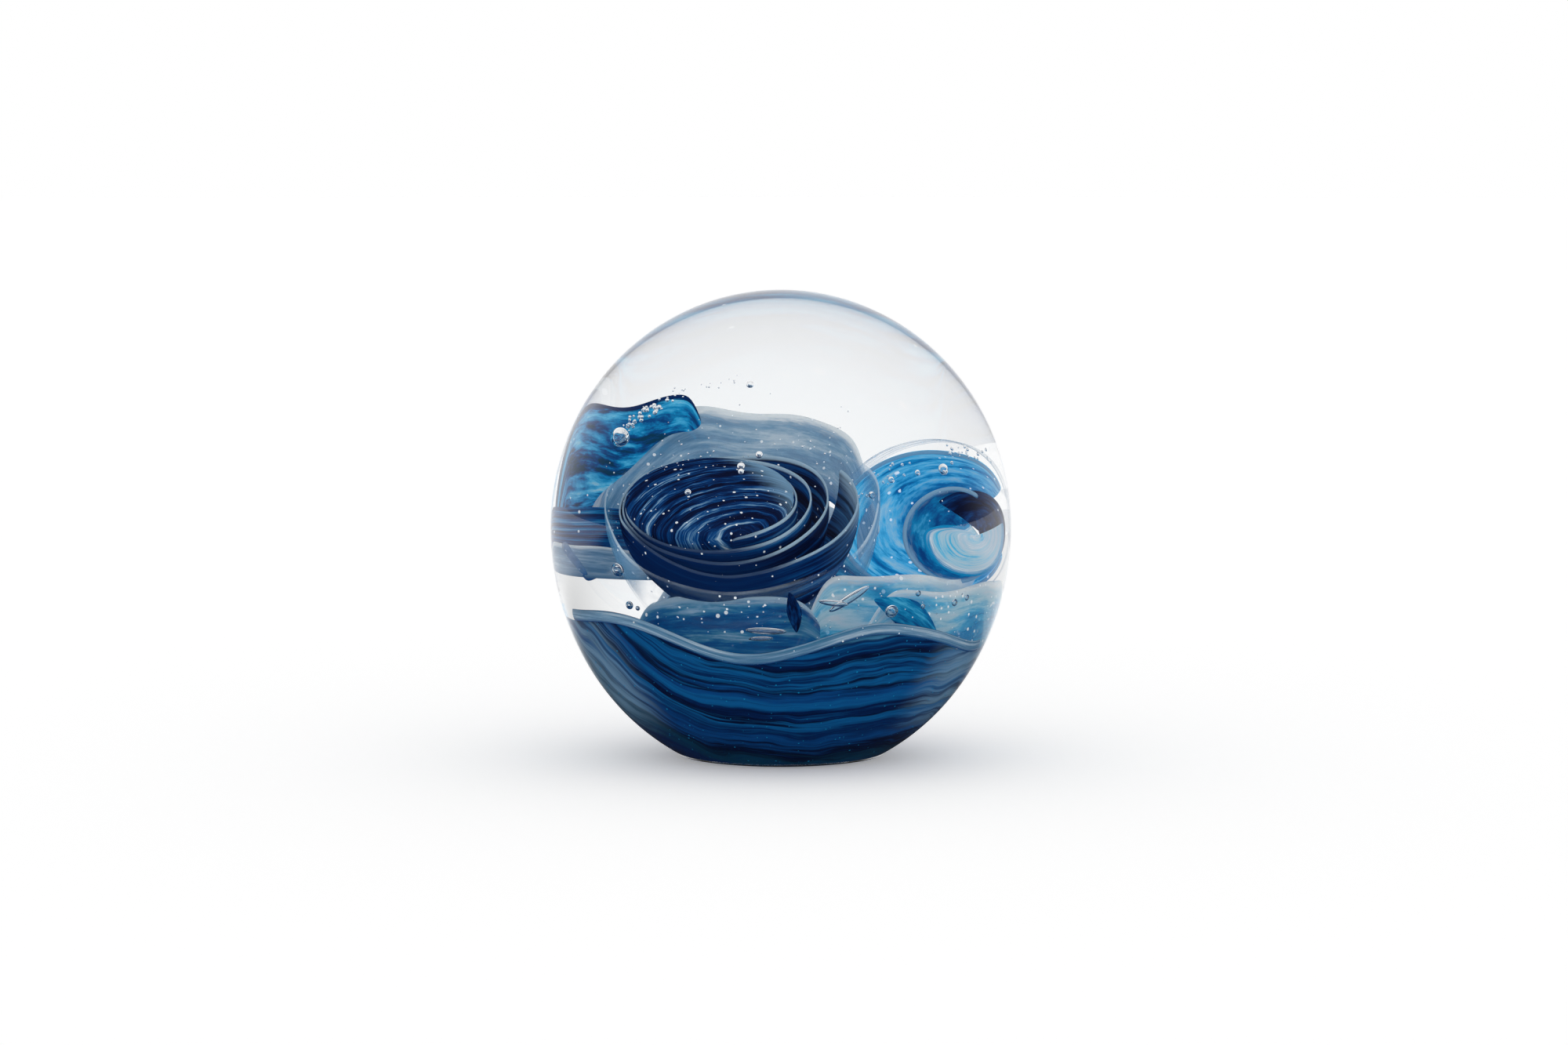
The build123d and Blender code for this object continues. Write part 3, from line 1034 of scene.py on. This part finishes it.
def make_swell():
    """The pale swell: one ribbon of glass that rolls along over the base's rim."""
    places = []
    steps = 72
    for step in range(steps + 1):
        degrees = 192.0 + 158.0 * step / steps
        height = swell_height(degrees) + 0.5
        places.append(polar(base_radius(height) - 0.6, degrees, height))
    pulls = [((0.0, 0.0, -0.36 * MM), (1.005, 1.005, 1.0))] * 3
    pulls += [((0.0, 0.0, -0.45 * MM), (0.995, 0.995, 1.0))] * 2
    return wall("pale_swell", places, pulls, 0.6 * MM, levels=1)


def make_gather(name, centre, size, turn, pinch, bow):
    """A small gather of glass: a ball drawn out to its size, pinched to its ends and bowed."""
    start_clean()
    bpy.ops.mesh.primitive_uv_sphere_add(segments=24, ring_count=16, radius=MM)
    piece = take(name)
    for corner in piece.data.vertices:
        place = corner.co / MM
        narrow = 1.0 - pinch * abs(place.x) ** 1.5
        corner.co = Vector((place.x, place.y * narrow, place.z * narrow)) * MM
    mode("EDIT")
    select("SELECT")
    bpy.ops.transform.resize(value=size)
    mode("OBJECT")
    flow = piece.data.attributes.new("flow", "FLOAT_VECTOR", "POINT")
    for corner in piece.data.vertices:
        along = corner.co.x / (2 * size[0] * MM) + 0.5
        across = 0.5 - corner.co.z / (2 * size[2] * MM)
        flow.data[corner.index].vector = (along, across, 0.0)
        corner.co.z += bow * MM * (1.0 - (2 * along - 1.0) ** 2)
    note_own(piece)
    settle(piece, centre, turn)
    smooth(piece, 1)
    return piece


# ---------------------------------------------------------------- all the pieces and their glass

RAMP_COIL = ((0.20, INK), (0.45, NAVY), (0.66, ROYAL), (0.84, DEEP), (0.98, STEEL))
RAMP_EYE = ((0.24, INK), (0.48, NAVY), (0.66, ROYAL), (0.82, STEEL), (0.97, PALE))
RAMP_SHELL = ((0.10, STEEL), (0.35, HAZE), (0.65, MIST), (0.95, PALE))
RAMP_CUP = ((0.10, LAGOON), (0.35, STEEL), (0.65, HAZE), (0.95, MIST))
RAMP_VEIL = ((0.15, STEEL), (0.45, HAZE), (0.70, MIST), (0.90, PALE))
RAMP_WAVE = ((0.18, TEAL), (0.34, ROYAL), (0.52, CERULEAN), (0.74, SKY), (0.96, AQUA))
RAMP_BAND = ((0.08, DEEP), (0.26, CERULEAN), (0.50, SKY), (0.90, AQUA))
RAMP_TUBE = ((0.15, ROYAL), (0.35, DEEP), (0.65, CERULEAN), (0.92, SKY))
RAMP_FOAM = ((0.10, CERULEAN), (0.35, SKY), (0.62, AQUA), (0.92, PALE))
RAMP_LEAF = ((0.12, ROYAL), (0.35, DEEP), (0.60, CERULEAN), (0.90, SKY))
RAMP_RIPPLE = ((0.15, LAGOON), (0.40, STEEL), (0.62, HAZE), (0.92, PALE))
RAMP_STRIPE = ((0.22, NAVY), (0.40, ROYAL), (0.55, DEEP), (0.72, CERULEAN), (0.92, HAZE))
RAMP_BANK = ((0.10, ROYAL), (0.32, DEEP), (0.56, LAGOON), (0.80, HAZE), (0.97, MIST))
RAMP_BLOCK = ((0.20, INK), (0.50, NAVY), (0.80, ROYAL), (0.98, DEEP))
RAMP_APRON = ((0.10, SKY), (0.30, AQUA), (0.65, PALE), (0.95, MILK))
FRONT_LEFT = (-0.5, -0.87, 0.0)
RIGHT = (1.0, 0.0, 0.0)
LEFT = (-1.0, 0.0, 0.0)
DOWN = (0.0, 0.0, -1.0)

# Pieces given a glow above the common one have a stronger painted glow, which lifts more of their shade.
shell_glass = folded_glass("shell_glass", RAMP_CUP, 3.0, 9.0, lip=PALE, lip_reach=0.02, seed=1.0,
                           clear=(0.0, 0.06), lip_clear=2.5, glow=0.45,
                           covers=((LEFT, 14.0, 17.5, 0.55), (RIGHT, 13.5, 17.5, 0.6),
                                   (DOWN, 13.0, 17.0, 0.6)))
dress(make_coil_shell(), shell_glass, "pale_glass", "coil_lip_1")
# The ribbon's right side is painted lighter, towards steel: painted light that lifts the shade in the
# gaps between its turns there.
ribbon_glass = folded_glass("ribbon_glass", RAMP_COIL, 7.0, 13.0, 0.04, lip=MIST, lip_reach=0.022,
                            seed=2.0, shades=((RIGHT, 9.0, 18.0, STEEL, 0.50),
                                              ((0.6, 0.0, 0.8), 6.0, 9.5, MIST, 0.80),
                                              (FRONT_LEFT, 5.0, 13.0, NAVY, 0.90)))
dress(make_coil_ribbon(), ribbon_glass, "navy_glass", "coil_lip_2", "coil_lip_3", "coil_lip_4")
eye_glass = folded_glass("eye_glass", RAMP_EYE, 0.8, 10.0, 0.10, seed=3.0, seeds=0.30, cells=1300.0,
                         shades=(((0.9, 0.45, 0.0), 5.0, 10.0, HAZE, 0.8),))
dress(make_coil_eye(), eye_glass, "navy_glass", "coil_heart")
veil_glass = folded_glass("veil_glass", RAMP_VEIL, 5.0, 5.0, lip=MILK, lip_reach=0.12, foot=DEEP,
                          seed=4.0, seeds=0.30, cells=1500.0, clear=(0.78, 0.98), lip_clear=0.7,
                          shades=((LEFT, 12.0, 22.0, DEEP, 0.75),))
dress(make_veil(), veil_glass, "mist_glass", "crest_veil")
wave_glass = folded_glass("wave_glass", RAMP_WAVE, 2.5, 5.0, 0.25, lip=NAVY, lip_reach=0.035,
                          seed=5.0, glow=0.40)
wave = standing_sheet("back_wave", (-12.0, -5.6), 19.5, 144.0, 68.0, 52.4, 40.0, 0.8, ruffle=0.7,
                      lean=0.985, rings=6, ends=0.18, phase=0.6)
dress(wave, wave_glass, "royal_glass", "left_wave")
stripe_glass = folded_glass("stripe_glass", RAMP_STRIPE, 1.2, 12.0, seed=18.0)
stripe = standing_sheet("side_stripe", (-22.0, 30.0), 27.5, 246.0, 300.0, 42.2, 36.0, 0.7,
                        ruffle=0.2, ends=0.06)
dress(stripe, stripe_glass, "royal_glass")
fold_glass = folded_glass("fold_glass", RAMP_VEIL, 2.0, 5.0, lip=MILK, seed=6.0, foot=STEEL,
                          clear=(0.75, 1.0))
fold = standing_sheet("side_fold", (-22.0, 30.0), 28.5, 247.0, 300.0, 37.4, 33.2, 0.7, ruffle=0.3,
                      ends=0.06)
dress(fold, fold_glass, "mist_glass", "left_fold")
back_glass = folded_glass("back_glass", RAMP_WAVE, 3.0, 6.0, lip=PALE, seed=7.0)
back = standing_sheet("back_fold", (0.0, 0.0), 21.5, 40.0, 140.0, 42.0, 22.0, 0.8, ruffle=1.3,
                      lean=1.03, phase=1.1, ends=0.45)
dress(back, back_glass, "royal_glass", "rear_fold")
band_glass = folded_glass("band_glass", RAMP_BAND, 5.0, 6.0, lip=STEEL, lip_reach=0.03, seed=8.0,
                          foot=DEEP, seeds=0.35, glow=0.50)
dress(make_curl_band(), band_glass, "cerulean_glass", "curl_outer")
halo_glass = folded_glass("halo_glass", RAMP_SHELL, 3.0, 4.0, lip=HAZE, lip_reach=0.1, seed=19.0,
                          clear=(0.05, 0.35), lip_clear=2.0)
dress(make_curl_halo(), halo_glass, "pale_glass")
tube_glass = folded_glass("tube_glass", RAMP_TUBE, 4.0, 4.0, lip=HAZE, lip_reach=0.16, seed=10.0,
                          foot=ROYAL, glow=0.30)
dress(make_curl_tube(), tube_glass, "royal_glass", "curl_hook")
block_glass = folded_glass("block_glass", RAMP_BLOCK, 2.0, 4.0, seed=11.0)
dress(make_curl_block(), block_glass, "navy_glass", "curl_knot")
apron_glass = folded_glass("apron_glass", RAMP_APRON, 1.5, 9.0, 0.1, seed=12.0, lip=CERULEAN,
                           lip_reach=0.12, glow=0.35,
                           shades=(((0.6, 0.0, -0.8), 1.0, 9.0, HAZE, 0.8),))
dress(make_curl_apron(), apron_glass, "pale_glass", "curl_tongue")
foam_glass = folded_glass("foam_glass", RAMP_FOAM, 2.0, 2.5, 0.3, lip=MILK, seed=13.0, seeds=0.4,
                          clear=(0.55, 0.98), foot=CERULEAN, cells=1200.0)
foam = standing_sheet("foam_sheet", (3.0, 1.0), 20.0, 262.0, 392.0, 34.2, 21.0, 1.2, ruffle=0.6,
                      ends=0.15)
dress(foam, foam_glass, "foam_glass", "foam_fold")
drift = standing_sheet("foam_drift", (3.0, 1.0), 24.5, 282.0, 392.0, 32.4, 20.5, 1.2, ruffle=0.5,
                       phase=2.0, ends=0.2)
dress(drift, foam_glass, "foam_glass")
bank_glass = folded_glass("bank_glass", RAMP_BANK, 2.0, 3.5, 0.2, lip=MIST, seed=17.0, seeds=0.3,
                          clear=(0.8, 1.0), foot=DEEP)
bank = standing_sheet("foam_bank", (0.0, 0.0), 20.0, 188.0, 300.0, 31.2, 22.0, 1.2, ruffle=0.6,
                      phase=4.0, ends=0.2)
dress(bank, bank_glass, "foam_glass")
leaf_glass = folded_glass("leaf_glass", RAMP_LEAF, 1.5, 4.0, seed=14.0)
leaf = make_gather("dark_leaf", (19.0 * MM, -20.0 * MM, 27.2 * MM), (7.6, 0.8, 2.5),
                   (0.0, math.radians(30.0), math.radians(40.0)), 0.6, 1.0)
dress(leaf, leaf_glass, "navy_glass", "leaf")
drip = make_gather("glass_drip", (1.8 * MM, -23.5 * MM, 29.2 * MM), (3.2, 0.8, 1.1),
                   (0.0, math.radians(80.0), 0.0), 0.5, 0.2)
dress(drip, block_glass, "navy_glass")
swell_glass = folded_glass("swell_glass", RAMP_RIPPLE, 3.0, 2.5, lip=NAVY, lip_reach=0.07, seed=15.0,
                           foot=ROYAL, clear=(0.7, 1.0))
dress(make_swell(), swell_glass, "pale_glass", "ripple_low", "ripple_high")

# ---------------------------------------------------------------- the air in the glass

# The larger bubbles, as add_air takes them.
BUBBLES = [
    ((-17.8, 7.0, 49.7), 1.15),
    ((-3.9, -4.0, 58.9), 0.50),
    ((-5.7, -20.0, 49.8), 0.45),
    ((-5.4, -14.0, 49.6), 0.55),
    ((-3.0, -16.0, 51.6), 0.50),
    ((-13.7, -22.0, 47.1), 0.50),
    ((-24.5, -18.0, 35.0), 1.00, 1.2, 20.0),
    ((-22.6, -18.0, 29.6), 0.65),
    ((-21.4, -19.0, 29.2), 0.40),
    ((11.2, -4.0, 44.4), 0.50),
    ((13.7, -4.0, 46.4), 0.45),
    ((17.2, -4.0, 47.4), 0.40),
    ((20.9, -4.0, 48.0), 0.75),
    ((10.9, -4.0, 38.5), 0.50),
    ((17.5, -27.5, 28.9), 1.05, 1.1, 0.0),
    ((21.4, -24.0, 31.6), 0.50),
    ((22.4, -24.0, 29.4), 0.45),
    ((27.0, -18.0, 29.6), 0.60),
    ((28.8, -15.5, 30.2), 0.50),
    ((10.4, -26.0, 31.2), 0.70, 5.2, -32.0),
    ((8.0, -26.6, 30.6), 0.50, 4.6, 8.0),
    ((-2.4, -34.0, 26.0), 0.60, 5.6, 2.0),
    ((-3.2, -34.0, 24.7), 0.42, 5.0, -2.0),
]


def scatter(count, start, end, spread_out, sizes, dice):
    """A trail of fine seeds from one place to another, in millimetres."""
    trail = []
    for _ in range(count):
        share = dice.random()
        spot = tuple(low + (high - low) * share + dice.gauss(0.0, spread_out)
                     for low, high in zip(start, end))
        trail.append((spot, dice.uniform(*sizes)))
    return trail


DICE = random.Random(7)
BUBBLES += scatter(34, (-17.0, 7.0, 51.0), (-13.6, 3.0, 55.0), 0.6, (0.14, 0.34), DICE)
BUBBLES += scatter(22, (-14.0, 0.0, 56.5), (-5.0, -4.0, 59.6), 0.4, (0.07, 0.15), DICE)
BUBBLES += scatter(26, (21.0, -1.5, 49.6), (29.0, -0.5, 50.0), 0.7, (0.12, 0.28), DICE)
BUBBLES += scatter(22, (9.0, -2.5, 43.0), (15.0, -2.5, 48.5), 0.7, (0.10, 0.22), DICE)
BUBBLES += scatter(60, (-22.0, -12.0, 50.5), (8.0, -14.0, 52.0), 3.2, (0.06, 0.15), DICE)
BUBBLES += scatter(30, (0.0, -22.0, 28.5), (26.0, -14.0, 30.0), 1.2, (0.08, 0.18), DICE)
add_air(globe, BUBBLES)
dress(globe, clear_glass(), "clear_glass", "outer_gather", "inner_gather")
